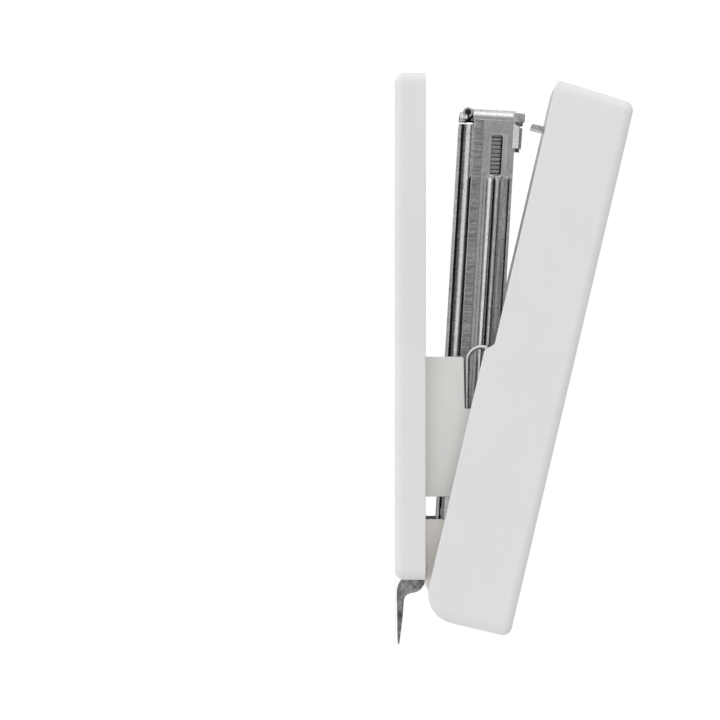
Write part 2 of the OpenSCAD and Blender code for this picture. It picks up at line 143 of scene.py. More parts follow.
def ring_solid(bm, rings, material=0):
    """A closed body through rings with equally many points, with a flat cap at each end."""
    loops = [[bm.verts.new(point) for point in ring] for ring in rings]
    count = len(loops[0])
    for near, far in zip(loops, loops[1:]):
        for i in range(count):
            j = (i + 1) % count
            bm.faces.new((near[i], near[j], far[j], far[i])).material_index = material
    bm.faces.new(loops[0][::-1]).material_index = material
    bm.faces.new(loops[-1]).material_index = material


def prism(bm, outline, y0, y1, bevel=0.0, segments=3, material=0):
    """A plate with the given outline in X and Z, from y0 to y1, with its sharp edges rounded."""
    part = bmesh.new()
    ring_solid(part, [[Vector((x, y, z)) for x, z in outline] for y in (y0, y1)], material)
    if bevel:
        round_edges(part, bevel, segments)
    join(bm, part)


def block(bm, low, high, bevel=0.0, segments=3, material=0):
    """A box with its edges rounded."""
    outline = [(low[0], low[2]), (high[0], low[2]), (high[0], high[2]), (low[0], high[2])]
    prism(bm, outline, low[1], high[1], bevel, segments, material)


def round_edges(bm, width, segments=3, sharper_than=30):
    """Rounds every edge that is sharper than the given angle."""
    bmesh.ops.recalc_face_normals(bm, faces=bm.faces[:])
    limit = math.radians(sharper_than)
    edges = [e for e in bm.edges if len(e.link_faces) == 2 and e.calc_face_angle(0) > limit]
    bmesh.ops.bevel(bm, geom=edges, offset=width, offset_type="OFFSET", segments=segments,
                    profile=0.5, affect="EDGES", clamp_overlap=True)


def join(bm, part):
    """Adds another body to a mesh."""
    mesh = bpy.data.meshes.new("part")
    part.to_mesh(mesh)
    part.free()
    bm.from_mesh(mesh)
    bpy.data.meshes.remove(mesh)


def sweep(bm, path, normals, sections, material=0):
    """A body through sections laid across a path; each section point is (along the normal, across)."""
    rings = []
    for i, point in enumerate(path):
        ahead = path[min(i + 1, len(path) - 1)] - path[max(i - 1, 0)]
        along = ahead.normalized()
        normal = (normals[i] - along * normals[i].dot(along)).normalized()
        side = along.cross(normal)
        rings.append([point + normal * u + side * v for u, v in sections[i]])
    ring_solid(bm, rings, material)


def round_section(radius, sides=16):
    """A circle's points."""
    return arc(0, 0, radius, 0, 360 * (sides - 1) / sides, sides - 1)


def flat_section(thickness, width, radius, steps=3):
    """A rectangle's points, with round corners."""
    u, v = thickness / 2 - radius, width / 2 - radius
    points = []
    for cu, cv, start in ((u, -v, -90), (u, v, 0), (-u, v, 90), (-u, -v, 180)):
        points += arc(cu, cv, radius, start, start + 90, steps)
    return points


def mirrored(bm):
    """Adds the same body on the other side of the middle plane."""
    copy = bm.copy()
    bmesh.ops.scale(copy, vec=(1, -1, 1), verts=copy.verts[:])
    bmesh.ops.reverse_faces(copy, faces=copy.faces[:])
    join(bm, copy)


def loose_object(bm, materials=()):
    """A mesh object in the scene, made from a mesh under construction."""
    bmesh.ops.recalc_face_normals(bm, faces=bm.faces[:])
    mesh = bpy.data.meshes.new("loose")
    for material in materials:
        mesh.materials.append(material)
    bm.to_mesh(mesh)
    bm.free()
    body = bpy.data.objects.new("loose", mesh)
    bpy.context.scene.collection.objects.link(body)
    return body


def carve(bm, cutter, materials):
    """Cuts one body out of another and returns the result."""
    body = loose_object(bm, materials)
    tool = loose_object(cutter, materials[:1])
    cut = body.modifiers.new("cut", "BOOLEAN")
    cut.operation = "DIFFERENCE"
    cut.solver = "EXACT"
    cut.object = tool
    depsgraph = bpy.context.evaluated_depsgraph_get()
    mesh = bpy.data.meshes.new_from_object(body.evaluated_get(depsgraph))
    result = bmesh.new()
    result.from_mesh(mesh)
    for loose in (body, tool):
        bpy.data.objects.remove(loose)
    bpy.data.meshes.remove(mesh)
    return result


def piece(name, bm, materials, body=None, angle=0.0, stands_for=()):
    """Turns a finished mesh into a visible piece that rides on a body."""
    bmesh.ops.recalc_face_normals(bm, faces=bm.faces[:])
    bm.transform(turned(angle))
    mesh = bpy.data.meshes.new(name)
    for material in materials:
        mesh.materials.append(material)
    bm.to_mesh(mesh)
    bm.free()
    mesh.shade_smooth()
    mesh.set_sharp_from_angle(angle=math.radians(38))
    made = bpy.data.objects.new(name, mesh)
    bpy.context.scene.collection.objects.link(made)
    normals = made.modifiers.new("flat_faces", "WEIGHTED_NORMAL")
    normals.keep_sharp = True
    if stands_for:
        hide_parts(*stands_for)
    if body:
        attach(made, body)
    return made


# Materials

class Graph:
    """A material's node tree, with short calls to add and link nodes."""

    def __init__(self, name):
        self.material = bpy.data.materials.new(name)
        self.material.use_nodes = True
        self.tree = self.material.node_tree
        self.shader = self.tree.nodes["Principled BSDF"]

    def add(self, kind, values=None, **settings):
        node = self.tree.nodes.new(kind)
        for key, value in settings.items():
            setattr(node, key, value)
        for key, value in (values or {}).items():
            node.inputs[key].default_value = value
        return node

    def link(self, source, target):
        self.tree.links.new(source, target)

    def coordinates(self, scale=(1, 1, 1), turn=0.0):
        """Object coordinates, turned back by an angle about Y and then stretched."""
        place = self.add("ShaderNodeTexCoord").outputs["Object"]
        for settings in ({"Rotation": (0, -turn, 0)}, {"Scale": scale}):
            mapping = self.add("ShaderNodeMapping", settings)
            self.link(place, mapping.inputs["Vector"])
            place = mapping.outputs["Vector"]
        return place

    def noise(self, place, scale, detail=3.0, roughness=0.55):
        node = self.add("ShaderNodeTexNoise", {"Scale": scale, "Detail": detail, "Roughness": roughness})
        self.link(place, node.inputs["Vector"])
        return node.outputs["Fac"]

    def ramp(self, value, stops):
        """Colours or greys by value."""
        node = self.add("ShaderNodeValToRGB")
        elements = node.color_ramp.elements
        while len(elements) < len(stops):
            elements.new(0.5)
        for element, (position, colour) in zip(elements, stops):
            element.position = position
            element.color = (*colour, 1) if isinstance(colour, tuple) else (colour, colour, colour, 1)
        self.link(value, node.inputs["Fac"])
        return node.outputs["Color"]

    def mix(self, share, one, other, blend="MIX"):
        node = self.add("ShaderNodeMix", data_type="RGBA", blend_type=blend)
        for key, source in ((0, share), (6, one), (7, other)):
            if hasattr(source, "is_output"):
                self.link(source, node.inputs[key])
            else:
                node.inputs[key].default_value = source
        return node.outputs[2]

    def bump(self, height, strength, depth, before=None):
        """Relief of the given depth in metres."""
        node = self.add("ShaderNodeBump", {"Strength": strength, "Distance": depth})
        self.link(height, node.inputs["Height"])
        if before:
            self.link(before, node.inputs["Normal"])
        return node.outputs["Normal"]

    def finish(self, **links):
        for key, source in links.items():
            self.link(source, self.shader.inputs[key.replace("_", " ")])
        return self.material


def moulded_plastic(name, light, dark, rough, grain=9000, grain_strength=0.12):
    """Satin moulded plastic: faint flow marks, fine spark-eroded grain and uneven gloss."""
    graph = Graph(name)
    graph.shader.inputs["IOR"].default_value = 1.5
    graph.shader.inputs["Subsurface Weight"].default_value = 0.08
    graph.shader.inputs["Subsurface Radius"].default_value = (1, 0.9, 0.8)
    graph.shader.inputs["Subsurface Scale"].default_value = 0.0008
    place = graph.coordinates()
    flow = graph.noise(graph.coordinates(scale=(1, 3, 3)), 55, 2.0)
    specks = graph.noise(place, 2400, 2.0)
    colour = graph.ramp(flow, [(0.3, dark), (0.7, light)])
    gloss = graph.ramp(specks, [(0.3, rough - 0.05), (0.7, rough + 0.06)])
    fine = graph.noise(place, grain, 2.0, 0.6)
    waves = graph.noise(place, 90, 1.0)
    relief = graph.bump(waves, 0.15, 0.00004)
    relief = graph.bump(fine, grain_strength, 0.000006, relief)
    return graph.finish(Base_Color=colour, Roughness=gloss, Normal=relief)


def sheet_steel(name, dark, light, rough, turn=0.0, along=(40, 900, 1400), speckle=0.5, relief=0.3,
                tint=(0.985, 0.99, 1.0)):
    """Plated sheet: drawn streaks along the rolling direction, speckled plating and small stains."""
    graph = Graph(name)
    graph.shader.inputs["Metallic"].default_value = 1.0
    streaks = graph.noise(graph.coordinates(scale=along, turn=turn), 1.0, 4.0, 0.65)
    fine = graph.noise(graph.coordinates(scale=[3 * s for s in along], turn=turn), 1.0, 3.0, 0.6)
    speckles = graph.noise(graph.coordinates(), 4200, 2.0, 0.7)
    stains = graph.noise(graph.coordinates(), 420, 3.0, 0.6)
    metal = graph.ramp(streaks, [
        (0.32, tuple(dark * t for t in tint)),
        (0.68, tuple(light * t for t in tint)),
    ])
    dots = graph.ramp(speckles, [(0.34, 0.4), (0.44, 0.95), (0.58, 1.0), (0.66, 1.5)])
    colour = graph.mix(speckle, metal, dots, "MULTIPLY")
    cloud = graph.ramp(stains, [(0.3, 0.75), (0.42, 1.0)])
    colour = graph.mix(0.7 * speckle, colour, cloud, "MULTIPLY")
    gloss = graph.ramp(fine, [(0.3, rough - 0.08), (0.7, rough + 0.12)])
    surface = graph.bump(fine, relief, 0.000012)
    surface = graph.bump(speckles, relief * 0.7, 0.00001, surface)
    return graph.finish(Base_Color=colour, Roughness=gloss, Normal=surface)


SHELL_WHITE = moulded_plastic("satin_white_plastic", (0.823, 0.822, 0.823), (0.806, 0.805, 0.806), 0.42)
INNER_WHITE = moulded_plastic("inner_white_plastic", (0.80, 0.793, 0.775), (0.77, 0.762, 0.742), 0.5)
SPACER_WHITE = moulded_plastic("natural_acetal", (0.78, 0.77, 0.73), (0.74, 0.73, 0.69), 0.35)
# The bracket's warm white, raised in lightness: partly its colour, partly painted light for its shaded place
# between base and handle.
BRIGHTENED_BRACKET_WHITE = moulded_plastic("warm_white_nylon_painted_light", (0.96, 0.925, 0.875), (0.93, 0.89, 0.84), 0.5)
PUSHER_GREY = moulded_plastic("dark_grey_acetal", (0.05, 0.05, 0.053), (0.035, 0.035, 0.038), 0.38)
MAGAZINE_STEEL = sheet_steel("nickel_plated_steel", 0.34, 0.64, 0.2, turn=LIFT, speckle=0.7)
NOSE_STEEL = sheet_steel("satin_nickel_steel", 0.36, 0.45, 0.26, turn=LIFT, along=(700, 700, 700),
                         speckle=0.12, relief=0.08, tint=(0.965, 0.97, 1.0))
# A brighter copy of the plated steel: painted highlight on the bead, the first rib's edge, the nose roll and the
# bent tabs.
PAINTED_HIGHLIGHT_STEEL = sheet_steel("painted_highlight_steel", 0.74, 0.84, 0.3, turn=LIFT, along=(120, 900, 900), speckle=0.4,
                           relief=0.2)
# Cross-brushed steel for the hatched band; it is also painted shade on the bead's lower flank.
HATCHED_AND_SHADE_STEEL = sheet_steel("cross_brushed_steel_and_painted_shade", 0.15, 0.42, 0.3, turn=LIFT, along=(7600, 260, 420))
# Darker mottled steel: a mottled tone with painted shade, for the recessed band and under the folded lip.
MOTTLED_AND_SHADE_STEEL = sheet_steel("mottled_steel_and_painted_shade", 0.12, 0.46, 0.42, turn=LIFT, along=(120, 1800, 2600),
                           speckle=0.8)
# Near-black copy of the steel: painted shade in the narrow gaps, the dark lines and inside the nose ear.
PAINTED_GAP_SHADE_STEEL = sheet_steel("painted_gap_shade_steel", 0.02, 0.06, 0.6, turn=LIFT)
PLATE_STEEL = sheet_steel("plated_base_steel", 0.42, 0.62, 0.32)
HANDLE_STEEL = sheet_steel("plated_frame_steel", 0.42, 0.62, 0.32, turn=OPEN)
FASTENER_STEEL = sheet_steel("turned_steel", 0.45, 0.66, 0.28, along=(900, 900, 900), speckle=0.3)
SPRING_STEEL = sheet_steel("bright_spring_steel", 0.66, 0.86, 0.2, along=(200, 900, 900), speckle=0.2,
                           relief=0.15)
STAPLE_STEEL = sheet_steel("staple_wire", 0.24, 0.38, 0.3, turn=LIFT, along=(1500, 200, 200), speckle=0.3)
TAB_STEEL = sheet_steel("burnished_dark_steel", 0.06, 0.48, 0.26, along=(500, 500, 500), speckle=0.8,
                        relief=0.5)


# Handle

SHELL_WALL = 1.4
SHELL_ROOF = 1.3
REAR_WALL = 1.0
REAR_OPENING = 8.3
REAR_EDGE = PIVOT.z - 0.86
PLAN_CORNER = 1.3
TOP_FILLET = 1.05
RIM_ROUND = 0.14
RIM_CHAMFER = 0.45
THROAT_RISE = 0.94
THROAT_LEN = 30.1
STEP_LEN = 1.15
LIFT_ROUND = 3.5
LIFT_LEN = 1.3
NOSE_DRAFT = 0.6
END_ROUND_DROP = 0.9
UNDER_REAR = SHELL_LOW.z
UNDER_FRONT = UNDER_REAR + THROAT_RISE
END_ROUND = PIVOT.z - END_ROUND_DROP - UNDER_REAR
HANDLE_END = SHELL_HIGH.x
TOP = SHELL_HIGH.z


def underside(x):
    """Height of the closed handle's lower edge at x."""
    from_nose = x - NOSE
    if from_nose < LIFT_LEN:
        return UNDER_FRONT + LIFT_ROUND - math.sqrt(LIFT_ROUND**2 - (LIFT_LEN - from_nose) ** 2)
    to_round = x - (HANDLE_END - END_ROUND)
    if to_round > 0:
        return UNDER_REAR + END_ROUND - math.sqrt(max(END_ROUND**2 - to_round**2, 0))
    step = smooth(from_nose, THROAT_LEN, THROAT_LEN + STEP_LEN)
    return UNDER_FRONT + (UNDER_REAR - UNDER_FRONT) * step


def inner_edge(x, y):
    """Lower edge inside the shell: the rear wall ends higher, where the bracket passes."""
    if x > HANDLE_END - REAR_WALL - 0.4 and abs(y) < REAR_OPENING + 0.1:
        return REAR_EDGE
    return underside(x)


def outer_edge(x, y):
    """Lower edge outside the shell, raised between the sides behind the bracket."""
    if x > HANDLE_END - REAR_WALL - 0.4 and abs(y) < REAR_OPENING + 0.01:
        return max(underside(x), REAR_EDGE)
    return underside(x)


def drafted(points):
    """Leans the nose face back towards the top."""
    for point in points:
        rise = max(point.z - UNDER_FRONT - 0.5, 0) / (TOP - UNDER_FRONT - 0.5)
        point.x += NOSE_DRAFT * rise * (1 - smooth(point.x, NOSE + 0.2, NOSE + 3))
    return points


def press_mark_cutter():
    """Soft-edged slot across the nose, where a thumb presses."""
    centre, reach = NOSE + 4.38, 5.2
    bm = bmesh.new()
    rings = []
    for half, height in ((0.84, 0.6), (0.84, 0.02), (0.76, -0.03), (0.69, -0.1), (0.63, -0.2),
                         (0.54, -0.27), (0.4, -0.31), (0.2, -0.33)):
        loop = plan_loop(centre - half, centre + half, reach - 0.65 + half, half * 0.98, steps=8)
        rings.append(at_height(loop, TOP + height))
    ring_solid(bm, rings)
    return bm


def handle_shell():
    bm = bmesh.new()
    step = NOSE + THROAT_LEN
    cuts = spread(NOSE + 1.8, step - 0.5, 12) + spread(step - 0.1, step + STEP_LEN + 0.1, 12)
    cuts += spread(step + 2, HANDLE_END - END_ROUND, 10) + spread(HANDLE_END - END_ROUND + 0.2,
                                                                  HANDLE_END - PLAN_CORNER - 0.06, 10)

    def loop(inset, rear=None, radius=None):
        rear = inset if rear is None else rear
        corner = max(PLAN_CORNER - inset, 0.25) if radius is None else radius
        return plan_loop(NOSE + inset, HANDLE_END - rear, HALF_W - inset, corner, cuts,
                         rear_cuts=(-REAR_OPENING, REAR_OPENING))

    ceiling = TOP - SHELL_ROOF
    inner = loop(SHELL_WALL, REAR_WALL)
    rings = [
        at_height(loop(SHELL_WALL + 0.5, REAR_WALL + 0.5), ceiling),
        at_height(loop(SHELL_WALL + 0.15, REAR_WALL + 0.15), ceiling - 0.15),
        at_height(inner, ceiling - 0.5),
        at_height(inner, lambda x, y: inner_edge(x, y) + RIM_CHAMFER),
        at_height(loop(SHELL_WALL - RIM_CHAMFER, REAR_WALL - RIM_CHAMFER), inner_edge),
        drafted(at_height(loop(RIM_ROUND), outer_edge)),
        drafted(at_height(loop(RIM_ROUND * 0.3), lambda x, y: outer_edge(x, y) + RIM_ROUND * 0.3)),
        drafted(at_height(loop(0), lambda x, y: outer_edge(x, y) + RIM_ROUND)),
    ]
    for angle in spread(0, 90, 9):
        inset = TOP_FILLET * (1 - math.cos(math.radians(angle)))
        height = TOP - TOP_FILLET * (1 - math.sin(math.radians(angle)))
        rings.append(drafted(at_height(loop(inset), height)))
    ring_solid(bm, rings)
    bm = carve(bm, press_mark_cutter(), [SHELL_WHITE])
    piece("handle_cover", bm, [SHELL_WHITE], "handle", OPEN, ["handle_shell"])


# Base

BASE_RIM = 1.3
BASE_FLOOR = 1.2
BASE_FILLET = 0.95
TAB_HALF = TAB_HIGH.y


def base_cover():
    bm = bmesh.new()
    x0, x1, top = BASE_LOW.x, BASE_HIGH.x, BASE_HIGH.z

    def loop(inset):
        return plan_loop(x0 + inset, x1 - inset, HALF_W - inset, max(PLAN_CORNER - inset, 0.15))

    rings = [
        at_height(loop(BASE_RIM), BASE_FLOOR),
        at_height(loop(BASE_RIM), top - 0.06),
        at_height(loop(BASE_RIM - 0.06), top),
        at_height(loop(0.13), top),
        at_height(loop(0.04), top - 0.04),
        at_height(loop(0), top - 0.13),
    ]
    for angle in spread(0, 90, 8):
        inset = BASE_FILLET * (1 - math.cos(math.radians(angle)))
        rings.append(at_height(loop(inset), BASE_FILLET * (1 - math.sin(math.radians(angle)))))
    ring_solid(bm, rings)
    slot = bmesh.new()
    block(slot, (x1 - BASE_RIM - 0.5, -TAB_HALF - 0.12, 1.0), (x1 + 1, TAB_HALF + 0.12, top + 1))
    bm = carve(bm, slot, [SHELL_WHITE])
    piece("base_tray", bm, [SHELL_WHITE], "base", 0, ["base_cover"])


CHEEK_FRONT = NOSE + 31.6
CHEEK_REAR = NOSE + 47.2
CHEEK_STEP = NOSE + 37.4
CHEEK_TOP = BASE_HIGH.z + 4.37
CHEEK_IN = CHANNEL_HIGH.y + 0.5
CHEEK_OUT = CHEEK_IN + 1.6


def guide_frame():
    top = BASE_HIGH.z
    half = GUIDE_HIGH.y
    bm = bmesh.new()
    liner = []
    for inset, height in ((0, GUIDE_LOW.z), (0, top - 0.12), (0.04, top - 0.04), (0.12, top)):
        loop = plan_loop(GUIDE_LOW.x + inset, GUIDE_HIGH.x - inset, half - inset, 0.3, steps=4)
        liner.append(at_height(loop, height))
    ring_solid(bm, liner)
    cuts = bmesh.new()
    block(cuts, (ANVIL_LOW.x - 0.06, ANVIL_LOW.y - 0.06, 0),
          (ANVIL_HIGH.x + 0.06, ANVIL_HIGH.y + 0.06, top + 1))
    block(cuts, (LEAF_LOW.x - 0.6, LEAF_LOW.y - 0.4, top - 0.5),
          (LEAF_HIGH.x + 0.3, LEAF_HIGH.y + 0.4, top + 1))
    head = [turned(0).inverted() @ v.co for v in frame["nodes"]["base_rivets"].data.vertices]
    head = [point for point in head if point.x < 0 and point.z > top - 0.5]
    radius = max(point.y for point in head)
    centre = (max(point.x for point in head) + min(point.x for point in head)) / 2
    ring = arc(centre, 0, radius + 0.05, 0, 354, 59)
    ring_solid(cuts, [[Vector((x, y, z)) for x, y in ring] for z in (0, top + 1)])
    bm = carve(bm, cuts, [INNER_WHITE])
    cheek = arc(CHEEK_FRONT + 0.3, CHEEK_TOP - 0.42, 0.3, 180, 105, 5)
    cheek = [(CHEEK_FRONT, top - 0.4)] + cheek + [
        (CHEEK_STEP - 0.1, CHEEK_TOP), (CHEEK_STEP, CHEEK_TOP + 0.1), (CHEEK_STEP, GUIDE_HIGH.z - 0.3),
        (CHEEK_STEP + 0.3, GUIDE_HIGH.z), (CHEEK_REAR, GUIDE_HIGH.z), (CHEEK_REAR, top - 0.4),
    ]
    sides = bmesh.new()
    prism(sides, cheek, CHEEK_IN, CHEEK_OUT, 0.12)
    mirrored(sides)
    join(bm, sides)
    piece("guide_cheeks", bm, [INNER_WHITE], "base", 0, ["guide_frame"])


def anvil():
    """Clinching plate with a curved pocket for each staple leg and a shallow land between them."""
    bm = bmesh.new()
    block(bm, ANVIL_LOW, ANVIL_HIGH, 0.08, 2)
    pockets = bmesh.new()
    centre = (DRIVER_LOW.x + 0.25, ANVIL_HIGH.z)
    rings = []
    for t in spread(-1, 1, 28):
        y = t * 5.2
        depth = 0.45 + 0.28 * math.sin(math.pi * min(abs(t) * 1.15, 1.0)) ** 2
        depth *= 1 - smooth(abs(t), 0.93, 1.0) * 0.9
        half = 0.95 * (1 - smooth(abs(t), 0.9, 1.0) * 0.6)
        ring = [Vector((centre[0] + half * c, y, centre[1] - depth * s))
                for c, s in arc(0, 0, 1, 0, 180, 10)]
        rings.append(ring + [Vector((centre[0] - half, y, centre[1] + 1)),
                             Vector((centre[0] + half, y, centre[1] + 1))])
    ring_solid(pockets, rings)
    bm = carve(bm, pockets, [PLATE_STEEL])
    piece("clinch_anvil", bm, [PLATE_STEEL], "base", 0, ["anvil"])


def remover_tab():
    """Steel strip that leaves the base near its inner face, cranks down and thins to a prying edge."""
    end = BASE_HIGH.x
    tip = TAB_HIGH.x
    stations = [
        (TAB_LOW.x, 2.8, 0.8), (end - 1.2, 2.8, 0.8), (end - 0.2, 2.85, 0.85), (end + 0.3, 2.87, 0.86),
        (end + 0.75, 2.72, 0.86), (end + 1.08, 2.4, 0.84), (end + 1.25, 2.0, 0.82), (end + 1.33, 1.6, 0.82),
        (end + 1.5, 1.2, 0.8), (end + 1.8, 0.86, 0.78), (end + 2.25, 0.64, 0.76), (end + 2.8, 0.57, 0.75),
        (end + 3.4, 0.56, 0.72), (end + 4.2, 0.53, 0.64), (end + 5.0, 0.49, 0.54),
        (end + 5.6, 0.46, 0.46), (end + 6.1, 0.43, 0.39), (end + 6.5, 0.41, 0.33), (end + 6.85, 0.39, 0.28),
        (end + 7.15, 0.38, 0.24), (end + 7.35, 0.375, 0.2), (tip, 0.37, 0.15),
    ]
    path, normals, sections = [], [], []
    corner = 1.67
    for i, (x, z, thickness) in enumerate(stations):
        before, after = stations[max(i - 1, 0)], stations[min(i + 1, len(stations) - 1)]
        along = Vector((after[0] - before[0], 0, after[1] - before[1])).normalized()
        left = max(x - (tip - corner), 0)
        between_flanges = 0.06 * (1 - smooth(x, end + 3.4, end + 3.9))
        half = TAB_HALF - between_flanges - corner + math.sqrt(max(corner**2 - left**2, 0.0))
        path.append(Vector((x, 0, z)))
        normals.append(Vector((-along.z, 0, along.x)))
        sections.append(flat_section(thickness, 2 * half, min(0.1, thickness * 0.35)))
    bm = bmesh.new()
    sweep(bm, path, normals, sections)
    hole = bmesh.new()
    bore = next(m for m in frame["record"]["mounts"] if m["name"] == "strap_hole")
    x, r = bore["pos_m"][0] / MM, bore["dims"]["r_mm"]
    ring_solid(hole, [[Vector((cx, cy, z)) for cx, cy in arc(x, 0, r, 0, 352.5, 47)] for z in (-1, 2)])
    bm = carve(bm, hole, [TAB_STEEL])
    flange = [
        (end + 0.02, 0.94), (end + 0.3, 0.7), (end + 0.65, 0.46), (end + 1.1, 0.26), (end + 1.7, 0.17),
        (end + 2.7, 0.17), (end + 3.8, 0.24), (end + 3.8, 0.86), (end + 2.7, 0.94), (end + 2.2, 1.0),
        (end + 1.9, 1.24), (end + 1.73, 1.7), (end + 1.6, 2.38), (end + 1.32, 2.86), (end + 0.7, 3.28),
        (end + 0.02, 3.36),
    ]
    sides = bmesh.new()
    prism(sides, flange, TAB_HALF - 0.55, TAB_HALF, 0.1)
    mirrored(sides)
    join(bm, sides)
    piece("remover_blade", bm, [TAB_STEEL], "base", 0, ["remover_tab"])


def return_spring():
    """Two bent wires from the cheeks into the handle; the whole of them rides on the base."""
    radius = WIRE_HIGH.y - (CHEEK_IN + CHEEK_OUT) / 2
    y = (CHEEK_IN + CHEEK_OUT) / 2
    bend = 1.6
    leg_z = WIRE_LOW.z + radius
    bend_x = WIRE_LOW.x + radius + bend
    slope = math.radians(16.5)
    path = [Vector((x, y, leg_z)) for x in spread(CHEEK_STEP + 2, bend_x + 0.2, 6)]
    path += [Vector((x, y, z)) for x, z in
             arc(bend_x, leg_z + bend, bend, 270, 90 + math.degrees(slope), 22)]
    last = path[-1]
    path += [last + Vector((math.cos(slope), 0, math.sin(slope))) * s for s in spread(0.8, 10.9, 14)]
    bm = bmesh.new()
    sweep(bm, path, [ACROSS] * len(path), [round_section(radius)] * len(path))
    mirrored(bm)
    made = piece("return_wires", bm, [SPRING_STEEL], None, 0, ["return_spring"])
    made.modifiers.clear()
    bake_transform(made)
    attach(made, "base")


def lift_spring():
    """Leaf spring between the base and the magazine; the whole leaf rides on the base."""
    root, foot = LEAF_HIGH.x, LEAF_LOW.z + 0.15
    tip_x, tip_z = LEAF_LOW.x, LEAF_HIGH.z - 0.2
    start = root - 3.6
    stations = [(root, foot), (root - 1.2, foot), (root - 2.4, foot), (start, foot + 0.01)]
    for t in spread(0.1, 1, 10):
        stations.append((start + (tip_x - start) * t, foot + (tip_z - foot) * t ** 1.15))
    path = [Vector((x, 0, z)) for x, z in stations]
    sections = [flat_section(0.28, 4.0 - 1.0 * smooth(i, 8, 13), 0.06) for i in range(len(path))]
    bm = bmesh.new()
    sweep(bm, path, [UP] * len(path), sections)
    made = piece("lift_leaf", bm, [SPRING_STEEL], None, 0, ["lift_spring"])
    made.modifiers.clear()
    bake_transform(made)
    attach(made, "base")


# Magazine

MAG_BOTTOM = CHANNEL_LOW.z
WALL_HEIGHT = 6.35
MAG_TOP = MAG_BOTTOM + WALL_HEIGHT
MAG_HALF = CHANNEL_HIGH.y
WALL_FACE = MAG_HALF - 0.15
WALL_IN = MAG_HALF - 0.62
WALL_FRONT = NOSE + 5.05
WALL_REAR = NOSE + 50.6
RIB_START = NOSE + 11.1
RIB_END = CHEEK_REAR - 0.9
WINDOW_X0 = NOSE + 6.64
WINDOW_LEN = 4.62
WINDOW_LOW = 3.78
WINDOW_HIGH = 5.02
# Heights above the channel's underside
FLANGE = (0.0, 0.33)
LOWER_GAP = (0.39, 0.55)
BEAD = (0.6, 1.46)
BEAD_LINE = (1.5, 1.66)
HATCHED = (1.8, 2.7)
SCRIBED = (2.71, 2.78)
DIP = (3.15, 3.5)
FIRST_RIB = (3.55, 4.2)
RIB_LINE = (4.26, 4.39)
SECOND_RIB = (4.43, 5.02)
RECESS = (5.1, 5.88)
EDGE_LINE = (5.92, 6.02)
# The channel's finishes, in the order of its material slots: plain, cross-brushed (also painted shade on the
# bead's lower flank), painted shade, mottled with painted shade, smooth, and painted highlight
PLAIN, HATCH_AND_SHADE, SHADED, MOTTLED_AND_SHADE, SMOOTH, PAINTED_HIGHLIGHT = range(6)


def wall_relief(x, z):
    """How far the channel's side stands out from its flat face, at a height above the underside."""
    ribbed = smooth(x, RIB_START, RIB_START + 0.9) * (1 - smooth(x, RIB_END, RIB_END + 0.6))
    lined = smooth(x, RIB_START + 0.3, RIB_START + 0.9) * (1 - smooth(x, RIB_END, RIB_END + 0.6))
    beaded = 1 - smooth(x, RIB_END, RIB_END + 0.6)
    relief = 0.12 * band(z, *FLANGE) - 0.42 * band(z, *LOWER_GAP)
    relief += beaded * (0.27 * hump(z, *BEAD) - 0.12 * band(z, *BEAD))
    relief -= beaded * (0.06 + 0.24 * lined) * band(z, *BEAD_LINE)
    relief -= 0.03 * band(z, *HATCHED) + 0.06 * band(z, *SCRIBED)
    relief += ribbed * (0.25 * hump(z, *FIRST_RIB) - 0.1 * band(z, *FIRST_RIB) - 0.07 * band(z, *DIP))
    relief += ribbed * (0.2 * hump(z, *SECOND_RIB) - 0.06 * band(z, *SECOND_RIB))
    relief -= ribbed * (0.28 * band(z, *RIB_LINE) + 0.2 * band(z, *RECESS) + 0.3 * band(z, *EDGE_LINE))
    rim_x = max(WINDOW_X0 - x, x - WINDOW_X0 - WINDOW_LEN)
    rim_z = max(WINDOW_LOW - z, z - WINDOW_HIGH)
    relief += 0.07 * band(max(rim_x, rim_z), 0.0, 0.14, 0.05)
    return relief


def wall_material(x, z):
    """Which of the wall's finishes a face has."""
    middle = RIB_START + 0.45 < x < RIB_END + 0.2
    # The gap under the bead gets painted shade.
    if LOWER_GAP[0] < z < LOWER_GAP[1]:
        return SHADED
    # The dark lines in the ribbed middle get painted shade.
    for low, high in (BEAD_LINE, RIB_LINE, EDGE_LINE):
        if middle and low < z < high:
            return SHADED
    if HATCHED[0] < z < HATCHED[1]:
        return HATCH_AND_SHADE
    # The recessed band gets the mottled finish with painted shade.
    if middle and RECESS[0] < z < RECESS[1]:
        return MOTTLED_AND_SHADE
    # The bead's lower flank gets the darker cross-brushed finish as painted shade.
    if BEAD[0] < z < BEAD[0] + 0.33:
        return HATCH_AND_SHADE
    # The bead's crown and the first rib's lower edge get painted highlight.
    if BEAD[0] + 0.42 < z < BEAD[1] - 0.1 or (middle and FIRST_RIB[0] < z < FIRST_RIB[0] + 0.4):
        return PAINTED_HIGHLIGHT
    if HATCHED[1] < z and (x < RIB_START or z < DIP[1]):
        return SMOOTH
    return PLAIN


def wall_heights():
    """Heights at which the side wall is sampled: close together at every edge and across the ribs."""
    heights = [0.0, WALL_HEIGHT]
    for low, high in (FLANGE, LOWER_GAP, BEAD_LINE, HATCHED, SCRIBED, DIP, RIB_LINE, RECESS, EDGE_LINE):
        heights += [low - 0.03, low, low + 0.03, high - 0.03, high, high + 0.03]
    for low, high in (BEAD, FIRST_RIB, SECOND_RIB):
        heights += spread(low, high, 9)
    heights += [WINDOW_LOW - 0.2, WINDOW_LOW - 0.1, WINDOW_HIGH + 0.1, WINDOW_HIGH + 0.2]
    kept = []
    for height in sorted(h for h in heights if 0 <= h <= WALL_HEIGHT):
        if not kept or height - kept[-1] > 0.012:
            kept.append(height)
    return kept


